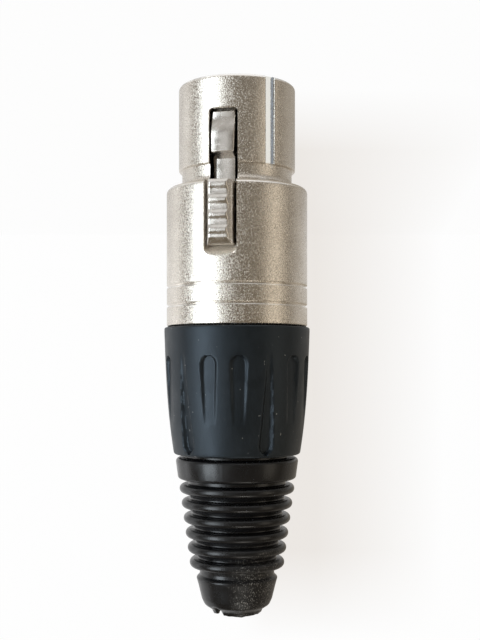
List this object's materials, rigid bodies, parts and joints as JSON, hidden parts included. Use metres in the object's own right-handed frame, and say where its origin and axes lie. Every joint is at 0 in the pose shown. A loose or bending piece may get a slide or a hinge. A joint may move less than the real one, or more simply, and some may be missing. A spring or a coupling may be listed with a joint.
{
  "type": "xlr plug",
  "caption": "Three pole female audio cable plug: satin metal shell with spring latch, screw-on grip nut and ribbed rubber cable boot, no cable.",
  "frame": {"origin": "centre of the mating face, at the lowest point of the part as it stands on its nose", "axes": "+Z along the plug's axis towards the cable end, -Y through the latch, +X completes a right-handed frame"},
  "size_m": [0.0198, 0.0206, 0.0713],
  "materials": {
    "nickel": "satin nickel plate over die-cast zinc",
    "insert_plastic": "matte black moulded polyamide",
    "contact_metal": "gold flashed brass",
    "strip_metal": "tinned spring brass",
    "latch_metal": "smooth nickel plate",
    "spring_steel": "bare spring steel",
    "chuck_plastic": "natural white acetal",
    "nut_plastic": "black moulded plastic, fine spark-eroded texture",
    "boot_rubber": "black semi-gloss rubber"
  },
  "bodies": {
    "shell": {"housing": "nickel", "contact_insert": "insert_plastic", "contact_1": "contact_metal", "contact_2": "contact_metal", "contact_3": "contact_metal", "shell_contact": "strip_metal", "latch_spring": "spring_steel", "chuck": "chuck_plastic"},
    "latch": {"latch_lever": "latch_metal"},
    "boot": {"boot": "boot_rubber"},
    "nut": {"grip_nut": "nut_plastic"}
  },
  "joints": [
    {"name": "latch_press", "type": "hinge", "parent": "shell", "child": "latch", "pos_m": [0, -0.0056, 0.0026], "axis": [-1, 0, 0], "range_deg": [0, 6.5], "stiffness_Nm_per_rad": 0.6, "springref_deg": -5.73, "deforming": ["latch_spring"]},
    {"name": "boot_slide", "type": "slide", "parent": "shell", "child": "boot", "axis": [0, 0, 1], "range_m": [0, 0.0061]},
    {"name": "nut_turn", "type": "hinge", "parent": "boot", "child": "nut", "pos_m": [0, 0, 0], "axis": [0, 0, 1], "range_deg": [0, 1800]}
  ],
  "couplings": [
    {"joint": "boot_slide", "follows": "nut_turn", "m_per_rad": 0.00019099}
  ]
}
